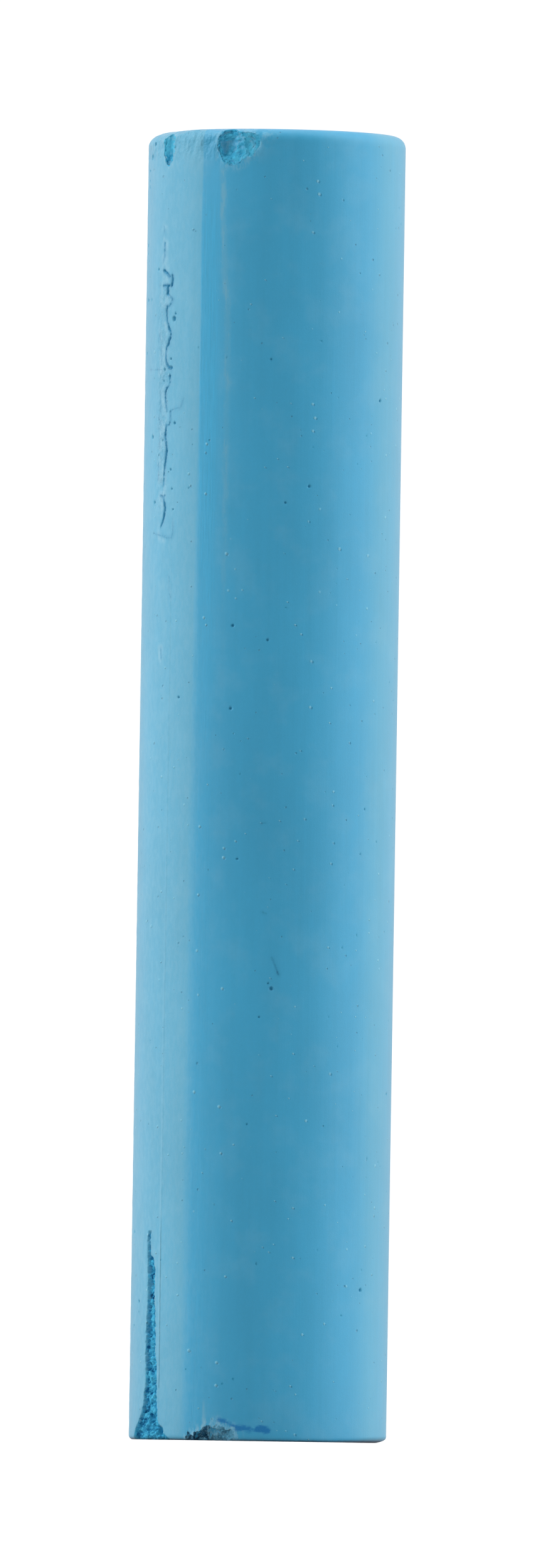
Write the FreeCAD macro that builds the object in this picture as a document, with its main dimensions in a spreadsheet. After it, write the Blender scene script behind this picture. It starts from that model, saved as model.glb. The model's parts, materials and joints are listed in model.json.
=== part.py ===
import FreeCAD, Part
import math
import os

import Sketcher

# A jumbo stick of blue chalk, cast in one piece in a two-part mould.
#
# Frame: millimetres, +Z up along the stick, origin at the middle of the foot face.
# The stick stands on its foot, and its front faces -Y. Places round the stick are angles
# in degrees, 0 at the front and positive towards +X. Places near the crown are depths
# below the top end, so that they follow the length.

# ---- Driving dimensions -------------------------------------------------------------

DRIVING_SIZES = [
    ("stick_diameter", 20.0, "cast diameter of the round body"),
    ("stick_length", 101.6, "overall length, foot to crown"),
    ("crown_edge", 0.9, "moulded rounding of the top rim"),
    ("foot_edge", 0.4, "moulded rounding of the foot rim"),
    ("foot_swell", 0.1, "how far the foot stands proud of the body, on the radius"),
    ("foot_swell_height", 13.0, "height over which the foot swell fades out"),
    ("drag_angle", -29.3, "middle of the flat that the mould dragged down the stick"),
    ("drag_width", 1.9, "width of the drag flat"),
    ("parting_angle", -50.0, "angle of the mould's parting line"),
    ("parting_width", 0.16, "width of the parting line's rib"),
    ("parting_height", 0.04, "how far the parting line's rib stands proud"),
    ("seam_angle", -56.0, "angle of the weak seam that split and crumbled"),
    ("split_width", 0.26, "width of the split in the upper half"),
    ("split_depth", 0.55, "depth of the split"),
    ("split_start", 10.7, "depth of the split's upper end below the crown"),
    ("trench_height", 16.0, "height of the crumbled trench above the foot"),
    ("trench_depth", 0.75, "depth of the crumbled trench"),
    ("trench_width", 1.1, "width of the trench at its middle"),
    ("crown_chip_angle", -18.5, "angle of the large chip in the top rim"),
    ("crown_chip_width", 3.5, "width of the large top chip"),
    ("crown_chip_height", 2.6, "height of the large top chip"),
    ("crown_chip_depth", 1.1, "how far the large top chip bites into the stick"),
    ("notch_width", 2.2, "width of the small notch in the top rim over the seam"),
    ("notch_height", 2.7, "height of the small notch"),
    ("notch_depth", 0.7, "how far the small notch bites into the stick"),
    ("foot_chip_angle", -18.0, "angle of the chip in the foot rim"),
    ("foot_chip_width", 4.6, "width of the foot chip"),
    ("foot_chip_height", 1.0, "height of the foot chip"),
    ("foot_chip_depth", 0.9, "how far the foot chip bites into the stick"),
    ("spall_width", 5.2, "width of the crumbled corner at the trench's foot"),
    ("spall_height", 1.7, "height of the crumbled corner"),
    ("spall_depth", 1.0, "how far the crumbled corner bites into the stick"),
    ("wear_angle", -78.0, "angle of the worn stretch of the top rim"),
    ("wear_drop", 1.4, "how far the worn stretch drops below the crown"),
    ("wear_reach", 2.5, "how far the worn stretch reaches in from the side"),
    ("bubble_radius", 0.18, "radius of the largest air bubbles in the surface"),
    ("cutter_margin", 0.3, "how far outside the stick the cutting tools start"),
]

BUBBLE_COUNT = 12  # open air bubbles, spread round the stick
GOLDEN_ANGLE = 137.5  # degrees from each bubble to the next

# The trench's two ragged sides: (half widths sideways, share of the trench's height).
TRENCH_LEFT = [(-1.3, 1.0), (-1.0, 0.62), (-1.2, 0.25), (-1.9, -0.05)]
TRENCH_RIGHT = [(1.9, -0.05), (1.2, 0.3), (0.7, 0.7), (-0.6, 1.0)]

# The split's course: (sideways from the seam, down from the split's upper end).
SPLIT_COURSE = [
    (-0.5, 0.0),
    (0.7, 0.8),
    (-0.3, 1.3),
    (0.7, 2.4),
    (0.0, 3.8),
    (0.5, 4.9),
    (0.0, 6.0),
    (0.5, 7.8),
    (-0.1, 9.8),
    (0.5, 11.0),
    (0.1, 13.2),
    (-0.3, 17.0),
    (0.0, 18.2),
    (-0.5, 19.9),
]

# ---- Document and spreadsheet ---------------------------------------------------------

doc = FreeCAD.newDocument("chalk_stick")
sheet = doc.addObject("Spreadsheet::Sheet", "Sizes")
for row, (alias, value, meaning) in enumerate(DRIVING_SIZES, start=1):
    sheet.set(f"A{row}", alias)
    sheet.set(f"B{row}", str(value))
    sheet.set(f"C{row}", meaning)
    sheet.setAlias(f"B{row}", alias)
doc.recompute()

RADIUS = "Sizes.stick_diameter / 2"
FOOT_RADIUS = f"({RADIUS} + Sizes.foot_swell)"
OUTSIDE = f"({RADIUS} + Sizes.foot_swell + Sizes.cutter_margin)"
CROWN = "Sizes.stick_length"
FOOT = "0 * Sizes.stick_length"


def size(alias):
    """A driving dimension, read from the spreadsheet."""
    return float(sheet.get(alias))


def bind(feature, **formulas):
    """Binds properties to spreadsheet formulas; a double underscore stands for a dot."""
    for name, formula in formulas.items():
        feature.setExpression(name.replace("__", "."), formula)


def stand_at(feature, angle, reach, height):
    """Stands a primitive on the ray at an angle, at a reach from the axis and a height."""
    feature.Placement = FreeCAD.Placement(
        FreeCAD.Vector(1, -1, 1), FreeCAD.Rotation(FreeCAD.Vector(0, 0, 1), 1)
    )
    bind(
        feature,
        Placement__Base__x=f"({reach}) * sin({angle} * 1deg)",
        Placement__Base__y=f"-({reach}) * cos({angle} * 1deg)",
        Placement__Base__z=f"({height})",
        Placement__Rotation__Angle=f"{angle}",
    )


def origin_plane(body, role):
    """One of the body's own origin planes, by its role."""
    return next(o for o in body.Origin.OriginFeatures if o.Role == role)


def new_sketch(body, name, role):
    """A sketch on one of the body's origin planes."""
    sketch = body.newObject("Sketcher::SketchObject", name)
    sketch.AttachmentSupport = (origin_plane(body, role), [""])
    sketch.MapMode = "FlatFace"
    return sketch


def draw_loop(sketch, corners):
    """Adds a closed loop of straight lines through the corners, joined end to end."""
    points = [FreeCAD.Vector(x, y, 0) for x, y in corners]
    first = sketch.GeometryCount
    for start, end in zip(points, points[1:] + points[:1]):
        sketch.addGeometry(Part.LineSegment(start, end), False)
    count = len(points)
    for k in range(count):
        join = Sketcher.Constraint("Coincident", first + k, 2, first + (k + 1) % count, 1)
        sketch.addConstraint(join)
    return first


def name_distance(sketch, kind, geometry, point, name, formula):
    """A named distance from the sketch's origin to a point, bound to a formula."""
    place = sketch.getPoint(geometry, point)
    value = place.x if kind == "DistanceX" else place.y
    constraint = Sketcher.Constraint(kind, -1, 1, geometry, point, value)
    sketch.renameConstraint(sketch.addConstraint(constraint), name)
    sketch.setExpression(f"Constraints.{name}", formula)


# ---- Cast body: one turned profile ------------------------------------------------------

body = doc.addObject("PartDesign::Body", "chalk_stick")
body.Label = "chalk_stick"


def cast_profile():
    """Half of the stick's outline in the XZ plane, from the foot up to the crown."""
    sketch = new_sketch(body, "cast_profile", "XZ_Plane")
    radius = size("stick_diameter") / 2
    foot_radius = radius + size("foot_swell")
    length = size("stick_length")
    foot_edge = size("foot_edge")
    crown_edge = size("crown_edge")
    swell_top = size("foot_swell_height")
    vector = FreeCAD.Vector
    quarter = math.pi / 2
    up = vector(0, 0, 1)
    foot_centre = vector(foot_radius - foot_edge, foot_edge, 0)
    crown_centre = vector(radius - crown_edge, length - crown_edge, 0)
    foot_arc = Part.ArcOfCircle(Part.Circle(foot_centre, up, foot_edge), -quarter, 0)
    crown_arc = Part.ArcOfCircle(Part.Circle(crown_centre, up, crown_edge), 0, quarter)
    outline = [
        Part.LineSegment(vector(0, 0, 0), vector(foot_radius - foot_edge, 0, 0)),
        foot_arc,
        Part.LineSegment(vector(foot_radius, foot_edge, 0), vector(radius, swell_top, 0)),
        Part.LineSegment(vector(radius, swell_top, 0), vector(radius, length - crown_edge, 0)),
        crown_arc,
        Part.LineSegment(vector(radius - crown_edge, length, 0), vector(0, length, 0)),
        Part.LineSegment(vector(0, length, 0), vector(0, 0, 0)),
    ]
    for piece in outline:
        sketch.addGeometry(piece, False)
    foot, foot_round, swell, side, crown_round, crown, axis = range(len(outline))
    joins = [(foot, 2, foot_round, 1), (foot_round, 2, swell, 1), (swell, 2, side, 1)]
    joins += [(side, 2, crown_round, 1), (crown_round, 2, crown, 1)]
    joins += [(crown, 2, axis, 1), (axis, 2, foot, 1)]
    for join in joins:
        sketch.addConstraint(Sketcher.Constraint("Coincident", *join))
    sketch.addConstraint(Sketcher.Constraint("Coincident", foot, 1, -1, 1))
    sketch.addConstraint(Sketcher.Constraint("Horizontal", foot))
    sketch.addConstraint(Sketcher.Constraint("Horizontal", crown))
    sketch.addConstraint(Sketcher.Constraint("Vertical", axis))
    sketch.addConstraint(Sketcher.Constraint("Vertical", side))
    name_distance(sketch, "DistanceX", foot, 2, "foot_flat", f"{FOOT_RADIUS} - Sizes.foot_edge")
    name_distance(sketch, "DistanceX", swell, 1, "foot_reach", FOOT_RADIUS)
    name_distance(sketch, "DistanceY", swell, 1, "foot_rise", "Sizes.foot_edge")
    name_distance(sketch, "DistanceX", side, 1, "body_reach", RADIUS)
    name_distance(sketch, "DistanceY", side, 1, "swell_rise", "Sizes.foot_swell_height")
    name_distance(
        sketch, "DistanceY", side, 2, "side_top", "Sizes.stick_length - Sizes.crown_edge"
    )
    name_distance(sketch, "DistanceX", crown, 1, "crown_flat", f"{RADIUS} - Sizes.crown_edge")
    name_distance(sketch, "DistanceY", crown, 1, "crown_rise", "Sizes.stick_length")
    for geometry, name in ((foot_round, "foot_edge"), (crown_round, "crown_edge")):
        rounding = Sketcher.Constraint("Radius", geometry, size(name))
        sketch.renameConstraint(sketch.addConstraint(rounding), name)
        sketch.setExpression(f"Constraints.{name}", f"Sizes.{name}")
    return sketch


profile = cast_profile()
cast = body.newObject("PartDesign::Revolution", "cast_body")
cast.Profile = profile
cast.ReferenceAxis = (profile, ["V_Axis"])
cast.Angle = 360
doc.recompute()

# ---- Parting line: a thin rib down the side ---------------------------------------------

rib_sketch = new_sketch(body, "parting_line_section", "XY_Plane")
rib_root = size("stick_diameter") / 2 - size("parting_width")
rib_top = size("stick_diameter") / 2 + size("parting_height")
half_rib = size("parting_width") / 2
rib = draw_loop(
    rib_sketch,
    [(-half_rib, -rib_root), (half_rib, -rib_root), (half_rib, -rib_top), (-half_rib, -rib_top)],
)
for line, kind in enumerate(("Horizontal", "Vertical", "Horizontal", "Vertical")):
    rib_sketch.addConstraint(Sketcher.Constraint(kind, rib + line))
name_distance(rib_sketch, "DistanceX", rib, 2, "right_side", "Sizes.parting_width / 2")
name_distance(rib_sketch, "DistanceX", rib, 1, "left_side", "-Sizes.parting_width / 2")
name_distance(rib_sketch, "DistanceY", rib, 1, "root", f"-({RADIUS} - Sizes.parting_width)")
name_distance(rib_sketch, "DistanceY", rib + 2, 1, "top", f"-({RADIUS} + Sizes.parting_height)")
rib_sketch.AttachmentOffset = FreeCAD.Placement(
    FreeCAD.Vector(0, 0, 1), FreeCAD.Rotation(FreeCAD.Vector(0, 0, 1), 1)
)
bind(
    rib_sketch,
    AttachmentOffset__Base__z="Sizes.foot_swell_height",
    AttachmentOffset__Rotation__Angle="Sizes.parting_angle",
)
rib_pad = body.newObject("PartDesign::Pad", "parting_line")
rib_pad.Profile = rib_sketch
bind(
    rib_pad,
    Length="Sizes.stick_length - Sizes.foot_swell_height - 2 * Sizes.crown_edge",
)
doc.recompute()

# ---- Drag flat: the mould shaved a narrow flat down the whole stick -----------------------

flat_sketch = new_sketch(body, "drag_flat_section", "XY_Plane")
chord = f"sqrt(({RADIUS}) ^ 2 - (Sizes.drag_width / 2) ^ 2)"
face = size("stick_diameter") / 2
outside = face + size("foot_swell") + size("cutter_margin")
flat_side = size("drag_width")
flat = draw_loop(
    flat_sketch,
    [(-flat_side, -face), (flat_side, -face), (flat_side, -outside), (-flat_side, -outside)],
)
for line, kind in enumerate(("Horizontal", "Vertical", "Horizontal", "Vertical")):
    flat_sketch.addConstraint(Sketcher.Constraint(kind, flat + line))
name_distance(flat_sketch, "DistanceX", flat, 2, "right_side", "Sizes.drag_width")
name_distance(flat_sketch, "DistanceX", flat, 1, "left_side", "-Sizes.drag_width")
name_distance(flat_sketch, "DistanceY", flat, 1, "face", f"-{chord}")
name_distance(flat_sketch, "DistanceY", flat + 2, 1, "outside", f"-{OUTSIDE}")
flat_sketch.AttachmentOffset = FreeCAD.Placement(
    FreeCAD.Vector(0, 0, 0), FreeCAD.Rotation(FreeCAD.Vector(0, 0, 1), 1)
)
bind(flat_sketch, AttachmentOffset__Rotation__Angle="Sizes.drag_angle")
flat_pocket = body.newObject("PartDesign::Pocket", "drag_flat")
flat_pocket.Profile = flat_sketch
flat_pocket.Reversed = True
bind(flat_pocket, Length="Sizes.stick_length")
doc.recompute()

# ---- Seam defects: the split above, the crumbled trench below -----------------------------


def seam_pocket(name, outline, height, depth):
    """Cuts an outline, drawn on the plane that touches the stick at the seam, inwards."""
    sketch = new_sketch(body, f"{name}_outline", "XZ_Plane")
    draw_loop(sketch, outline)
    sketch.AttachmentOffset = FreeCAD.Placement(
        FreeCAD.Vector(1, 1, 1), FreeCAD.Rotation(FreeCAD.Vector(0, 1, 0), 1)
    )
    bind(
        sketch,
        AttachmentOffset__Base__x=f"{OUTSIDE} * sin(Sizes.seam_angle * 1deg)",
        AttachmentOffset__Base__y=height,
        AttachmentOffset__Base__z=f"{OUTSIDE} * cos(Sizes.seam_angle * 1deg)",
        AttachmentOffset__Rotation__Angle="Sizes.seam_angle",
    )
    pocket = body.newObject("PartDesign::Pocket", name)
    pocket.Profile = sketch
    bind(pocket, Length=f"{depth} + {OUTSIDE} - {RADIUS}")
    doc.recompute()
    return pocket


def split_outline():
    """The split's ragged outline: pointed at both ends and one width wide between."""
    half = size("split_width") / 2
    ends = SPLIT_COURSE[0], SPLIT_COURSE[-1]
    middle = SPLIT_COURSE[1:-1]
    down_the_left = [(side - half, -down) for side, down in middle]
    up_the_right = [(side + half, -down) for side, down in reversed(middle)]
    top = (ends[0][0], -ends[0][1])
    bottom = (ends[1][0], -ends[1][1])
    return [top, *down_the_left, bottom, *up_the_right]


def trench_outline():
    """The trench's outline: a narrow upper tail that widens unevenly to the foot."""
    half = size("trench_width") / 2
    top = size("trench_height")
    return [(side * half, up * top) for side, up in TRENCH_LEFT + TRENCH_RIGHT]


seam_pocket("seam_split", split_outline(), f"{CROWN} - Sizes.split_start", "Sizes.split_depth")
seam_pocket("seam_trench", trench_outline(), FOOT, "Sizes.trench_depth")

# ---- Chips: hollows bitten out of the two rims --------------------------------------------


def chip(name, angle, level):
    """A chip: an ellipsoid bitten out of a rim, centred on the rim's level and radius."""
    bite = body.newObject("PartDesign::SubtractiveEllipsoid", name)
    bind(
        bite,
        Radius1=f"Sizes.{name}_height",
        Radius2=f"Sizes.{name}_width / 2",
        Radius3=f"Sizes.{name}_depth",
    )
    stand_at(bite, angle, RADIUS, level)
    doc.recompute()
    return bite


chip("crown_chip", "Sizes.crown_chip_angle", CROWN)
chip("notch", "Sizes.seam_angle", CROWN)
chip("foot_chip", "Sizes.foot_chip_angle", FOOT)
chip("spall", "Sizes.seam_angle", FOOT)

# ---- Worn stretch of the top rim: a sloping cut -------------------------------------------

wear_sketch = new_sketch(body, "rim_wear_section", "XZ_Plane")
reach_out = size("stick_diameter") / 2
wear_in = reach_out - size("wear_reach")
wear = draw_loop(
    wear_sketch,
    [(wear_in, 0), (reach_out, -size("wear_drop")), (reach_out, 0)],
)
name_distance(wear_sketch, "DistanceX", wear, 1, "inner", f"{RADIUS} - Sizes.wear_reach")
name_distance(wear_sketch, "DistanceX", wear, 2, "outer", RADIUS)
name_distance(wear_sketch, "DistanceY", wear, 2, "drop", "-Sizes.wear_drop")
wear_sketch.addConstraint(Sketcher.Constraint("Horizontal", wear + 2))
wear_sketch.addConstraint(Sketcher.Constraint("Vertical", wear + 1))
wear_sketch.addConstraint(Sketcher.Constraint("PointOnObject", wear, 1, -1))
wear_sketch.AttachmentOffset = FreeCAD.Placement(
    FreeCAD.Vector(0, 1, 0), FreeCAD.Rotation(FreeCAD.Vector(0, 1, 0), 1)
)
bind(
    wear_sketch,
    AttachmentOffset__Base__y="Sizes.stick_length",
    AttachmentOffset__Rotation__Angle="Sizes.wear_angle - 90",
)
wear_cut = body.newObject("PartDesign::Pocket", "rim_wear")
wear_cut.Profile = wear_sketch
wear_cut.Midplane = True
bind(wear_cut, Length="Sizes.stick_diameter")
doc.recompute()

# ---- Air bubbles open to the surface ------------------------------------------------------

for number in range(1, BUBBLE_COUNT + 1):
    bubble = body.newObject("PartDesign::SubtractiveSphere", f"air_bubble_{number}")
    bind(bubble, Radius="Sizes.bubble_radius")
    turn = (number * GOLDEN_ANGLE) % 360 - 180
    share_of_height = number / (BUBBLE_COUNT + 1)
    stand_at(bubble, f"({turn:g})", RADIUS, f"{share_of_height:.3f} * Sizes.stick_length")
doc.recompute()

# ---- Checks and export --------------------------------------------------------------------

sub_parts = [body]
for item in doc.Objects:
    if "Invalid" in item.State or "Error" in item.State:
        raise RuntimeError(f"{item.Label} failed: {item.State}")
os.makedirs("parts", exist_ok=True)
for part in sub_parts:
    if part.Shape.isNull() or not part.Shape.isValid():
        raise RuntimeError(f"{part.Label} has no valid shape")
    part.Shape.exportStep(os.path.join("parts", f"{part.Label}.step"))
    print(part.Label, "solids", len(part.Shape.Solids), "volume", round(part.Shape.Volume, 2))
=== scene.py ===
import json
import math
import random

import bpy
import numpy as np
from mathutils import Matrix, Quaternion, Vector


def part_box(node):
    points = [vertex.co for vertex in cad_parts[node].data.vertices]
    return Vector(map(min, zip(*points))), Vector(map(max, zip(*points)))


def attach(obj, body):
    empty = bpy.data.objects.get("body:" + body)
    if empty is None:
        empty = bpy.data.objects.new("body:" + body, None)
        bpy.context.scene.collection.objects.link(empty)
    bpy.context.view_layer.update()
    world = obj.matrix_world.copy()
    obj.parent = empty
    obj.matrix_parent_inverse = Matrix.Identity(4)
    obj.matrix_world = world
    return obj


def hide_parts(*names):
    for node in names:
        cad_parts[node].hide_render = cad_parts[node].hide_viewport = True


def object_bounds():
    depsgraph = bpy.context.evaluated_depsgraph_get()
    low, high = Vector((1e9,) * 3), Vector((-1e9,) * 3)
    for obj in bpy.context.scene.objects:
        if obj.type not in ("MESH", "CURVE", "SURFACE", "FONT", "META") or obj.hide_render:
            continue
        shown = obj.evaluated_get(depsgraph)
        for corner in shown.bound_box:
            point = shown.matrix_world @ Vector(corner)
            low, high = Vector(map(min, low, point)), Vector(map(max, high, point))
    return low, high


bl_info = {
    "name": "Chalk Stick",
    "version": (1, 0, 0),
    "blender": (4, 5, 0),
    "location": "3D View > Sidebar > Chalk",
    "description": "Casts a jumbo stick of blue chalk, weathers it and sets it on a studio floor",
    "category": "Add Mesh",
}

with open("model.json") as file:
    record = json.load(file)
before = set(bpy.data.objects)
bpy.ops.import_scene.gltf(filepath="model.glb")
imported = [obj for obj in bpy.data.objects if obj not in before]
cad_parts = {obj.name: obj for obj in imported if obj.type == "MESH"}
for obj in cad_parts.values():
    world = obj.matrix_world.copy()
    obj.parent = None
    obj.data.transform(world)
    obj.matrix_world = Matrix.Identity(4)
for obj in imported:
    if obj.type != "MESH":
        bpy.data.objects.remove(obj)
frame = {"record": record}
CAD_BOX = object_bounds()

# Places on the stick are an angle in degrees, 0 at the front and positive towards +X, and a
# height in millimetres above the foot. The stick's own frame is in metres, +Z up.
MM = 0.001
NODE = "chalk_stick"
BARREL = next(mount for mount in frame["record"]["mounts"] if mount["name"] == "barrel")
FOOT_CORNER, CROWN_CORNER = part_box(NODE)
RADIUS_MM = BARREL["dims"]["r_mm"]
LENGTH_MM = (CROWN_CORNER[2] - FOOT_CORNER[2]) / MM

# ---- Places of the marks on the stick ---------------------------------------------------

SEAM_ANGLE = -56.0  # the mould's weak seam, where the stick split and crumbled
PARTING_ANGLE = -50.4
DRAG_ANGLE = -29.6  # middle of the flat that the mould dragged down the stick
DRAG_HALF = 5.2  # its half width, in degrees

# The split in the upper half: (half width in mm, chain of places). A half width below zero
# only just shows, as a faint line.
SPLIT_LINES = [
    (0.07, [(-60, 90.7), (-57.5, 90.5), (-55, 90.2)]),
    (0.08, [(-53, 90.3), (-52.5, 90.0), (-53.5, 89.5)]),
    (0.05, [(-60, 89.5), (-57.5, 89.5), (-55, 89.5)]),
    (0.11, [(-56.5, 89.5), (-56.3, 89.1), (-56.5, 88.9)]),
    (0.05, [(-56, 88.8), (-55, 88.7), (-52.5, 88.4), (-53.5, 88.2), (-54.5, 87.9), (-56.5, 87.9)]),
    (0.07, [(-56.5, 87.9), (-57, 87.5), (-56.5, 86.8), (-55.5, 86.4), (-54.5, 86.1)]),
    (0.08, [(-54.5, 86.1), (-53.3, 85.8), (-53.6, 85.5), (-54.6, 85.2), (-55.5, 84.9)]),
    (0.06, [(-55.5, 84.9), (-56.5, 84.7), (-57, 84.2), (-56.7, 83.6), (-55.5, 83.3), (-53.3, 83)]),
    (0.04, [(-53.8, 82.5), (-53.6, 82.0), (-54.5, 81.7), (-56, 81.5)]),
    (0.06, [(-56, 81.5), (-57, 81.2), (-57, 80.8), (-56.3, 80.4), (-55.5, 79.8)]),
    (0.03, [(-53, 79.7), (-53, 79.3), (-53.3, 78.7), (-55.7, 78.6), (-56.3, 78.3)]),
    (0.07, [(-56.3, 78.3), (-56.6, 77.8), (-55.8, 77.3), (-55.4, 76.8), (-55.6, 76.3)]),
    (0.05, [(-55.6, 76.3), (-56.5, 75.6), (-57, 74.9), (-57.3, 74.4), (-57.6, 74.0)]),
    (0.03, [(-59.6, 73.2), (-57.5, 73.1), (-56.2, 73.2)]),
    (0.06, [(-57.4, 73.1), (-56.5, 72.6), (-55.7, 72.2), (-56.5, 71.7), (-57.6, 71.2)]),
    (0.02, [(-57.6, 71.2), (-59.2, 70.8)]),
    (-0.05, [(-60, 94.1), (-59.8, 93.6)]),
    (0.02, [(-59.4, 92.8), (-59.2, 91.8)]),
    (-0.05, [(-59.7, 91.7), (-60.3, 91.3)]),
    (-0.05, [(-53, 79.7), (-50, 79.9), (-46, 80.0), (-45, 80.3), (-44, 80.7)]),
    (-0.05, [(-74, 83.1), (-67, 83.0), (-60.5, 83.0)]),
    (-0.05, [(-63, 79.3), (-61.5, 79.0), (-60.4, 78.7)]),
    (-0.05, [(-63, 85.8), (-62.3, 85.3)]),
    (-0.05, [(-50, 71.4), (-49.8, 70.3), (-50.7, 69.9), (-54, 69.9), (-58.7, 70.1), (-66, 70.3)]),
    (-0.05, [(-52.0, 66.9), (-51.8, 65.6), (-50.6, 65.3)]),
    (-0.05, [(-57.6, 61.3), (-57.2, 60.6)]),
    (-0.06, [(-61.5, 84.6), (-60.8, 83.8), (-61.2, 83.2)]),
    (-0.06, [(-61.4, 81.2), (-61.0, 80.2), (-61.6, 79.8)]),
    (-0.05, [(-61.8, 78.0), (-61.2, 77.0)]),
    (-0.06, [(-62.0, 75.8), (-61.8, 75.0), (-62.2, 74.4)]),
    (-0.02, [(3.0, 37.4), (6.0, 36.1)]),
    (-0.04, [(-2.2, 47.8), (-0.8, 47.8)]),
    (-0.04, [(-1.2, 40.9), (0.2, 40.8)]),
]

# The crumbled trench below: (height, angle of its left side, angle of its right side).
TRENCH = [
    (-0.2, -74.5, -42),
    (0.2, -73.8, -44.2),
    (0.8, -71.6, -48),
    (1.5, -67, -50.6),
    (2.2, -64, -51.3),
    (2.8, -62.4, -51.4),
    (3.7, -62.2, -51.6),
    (4.2, -61, -51.7),
    (5.2, -61, -52),
    (7.0, -61.2, -53.2),
    (8.9, -60.8, -53.4),
    (10.3, -60.3, -54.2),
    (11.3, -60, -54.9),
    (12.0, -60, -54.2),
    (13.5, -60.4, -54.7),
    (14.1, -60.5, -56.2),
    (14.3, -60.6, -58.4),
    (15.2, -60.8, -58.4),
    (16.1, -60.4, -58),
]

# Open hollows: (angle, height, radius in mm). The first lot lie in the trench.
HOLLOWS = [
    (-58.4, 8.6, 0.32), (-58.8, 6.7, 0.2), (-59.6, 5.7, 0.2), (-56.4, 5.3, 0.24),
    (-55.2, 4.3, 0.3), (-60.5, 2.9, 0.3), (-62.5, 2.2, 0.22), (-55.8, 1.7, 0.42),
    (-59, 0.8, 0.34), (-49, 0.7, 0.4), (-69.4, 0.5, 0.26), (-57.5, 11.9, 0.2),
    (-57.7, 12.6, 0.22), (-56, 13.2, 0.15), (-56.3, 11, 0.16), (-59.6, 9.4, 0.2),
    (-51.2, 86.9, 0.21), (-50.4, 87.3, 0.11), (-79, 88.5, 0.13), (-73, 88.5, 0.1),
    (-82, 92.8, 0.13), (-82, 92.2, 0.1), (-52.7, 83.1, 0.16), (-57.8, 83, 0.15),
    (-53, 83.8, 0.11), (-49.8, 78.8, 0.14), (-69, 77.8, 0.17), (-58.5, 82.1, 0.1),
    (-58.6, 77.5, 0.14), (-80.4, 84.4, 0.12), (-52, 75.2, 0.1), (-65.4, 72.7, 0.12),
    (-51, 73.7, 0.1), (-50, 72.1, 0.1), (-75, 99.6, 0.2), (-80, 98.6, 0.12),
    (-79.5, 97.8, 0.12), (-79.5, 97.3, 0.13), (-71, 100.6, 0.16), (3, 35, 0.17),
    (1.6, 35.4, 0.09), (-78, 16.1, 0.12), (-69, 10.7, 0.12), (-69, 9.9, 0.08),
    (-1.8, 13.7, 0.08), (-11.3, 4.8, 0.1), (-34.3, 5.5, 0.09), (-50.5, 13.9, 0.08),
]

# Bites out of the rims: (angle, height from its own end, tangential, radial, vertical radius,
# raggedness), all in mm. The centre stands outside the corner, so a bite is scooped.
CROWN_BITES = [
    (-20.2, -1.45, 1.5, 0.5, 1.5, 0.18),
    (-22.0, -1.7, 0.85, 0.8, 0.95, 0.22),
    (-13.8, -1.0, 1.15, 0.3, 1.25, 0.12),
    (-56.8, -1.3, 0.85, 0.35, 1.4, 0.2),
    (-57.0, -2.3, 0.38, 0.6, 0.6, 0.14),
    (-4.0, -0.1, 1.2, 0.3, 0.5, 0.16),
]
FOOT_BITES = [
    (-19.5, -0.9, 2.4, 0.8, 2.15, 0.16),
    (-26.0, -0.5, 1.1, 0.9, 1.3, 0.2),
    (-32.0, -0.4, 0.5, 0.5, 1.0, 0.25),
]

# The worn stretch of each rim: the angle of its middle, how far it reaches in over the end
# and how far along the side, in mm.
CROWN_WEAR = (-88.0, 1.6, 1.0)
FOOT_WEAR = (95.0, 1.1, 0.45)

# Blue strokes above the foot: (half width in mm, chain of places).
STAINS = [
    (0.1, [(-17.6, 1.65), (-14.8, 1.5)]),
    (0.0, [(-14.6, 1.5), (-9.8, 1.05)]),
    (0.12, [(-9.4, 1.0), (-3.8, 0.92)]),
    (0.0, [(-3.6, 0.92), (-0.8, 0.95)]),
    (0.17, [(-0.2, 0.95), (4.8, 0.85)]),
]

BUBBLE_SEED = 11


# ---- Settings that a user would change --------------------------------------------------


def length_setting(name, description, millimetres):
    """A length property, with its default in millimetres."""
    return bpy.props.FloatProperty(
        name=name, description=description, default=millimetres * MM, min=0, unit="LENGTH",
        precision=5,
    )


def colour_setting(name, description, colour):
    """A colour property, with its default as linear red, green and blue."""
    return bpy.props.FloatVectorProperty(
        name=name, description=description, default=colour, size=3, min=0, max=1,
        subtype="COLOR",
    )


class ChalkStickSettings(bpy.types.PropertyGroup):
    """Sizes and colours of the chalk stick."""

    radius: length_setting("Radius", "Radius of the round barrel", RADIUS_MM)
    length: length_setting("Length", "Length from foot to crown", LENGTH_MM)
    crown_edge: length_setting("Crown edge", "Rounding of the top rim", 0.9)
    foot_edge: length_setting("Foot edge", "Rounding of the foot rim", 0.4)
    foot_swell: length_setting("Foot swell", "How far the foot stands proud", 0.1)
    swell_height: length_setting("Swell height", "Height where the foot swell fades", 13.0)
    trench_depth: length_setting("Trench depth", "Depth of the crumbled trench", 0.4)
    split_depth: length_setting("Split depth", "Depth of the split", 0.18)
    grain: length_setting("Grain", "Height of the broken chalk's grain", 0.2)
    bubbles: bpy.props.IntProperty(
        name="Bubbles", description="Open air bubbles in the surface", default=110, min=0
    )
    skin: colour_setting("Skin", "Smooth cast skin of the chalk", (0.052, 0.43, 0.71))
    broken: colour_setting("Broken", "Damp, broken chalk inside", (0.0, 0.125, 0.33))
    powder: colour_setting("Powder", "Dry powder on scuffed edges", (0.30, 0.62, 0.78))


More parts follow.
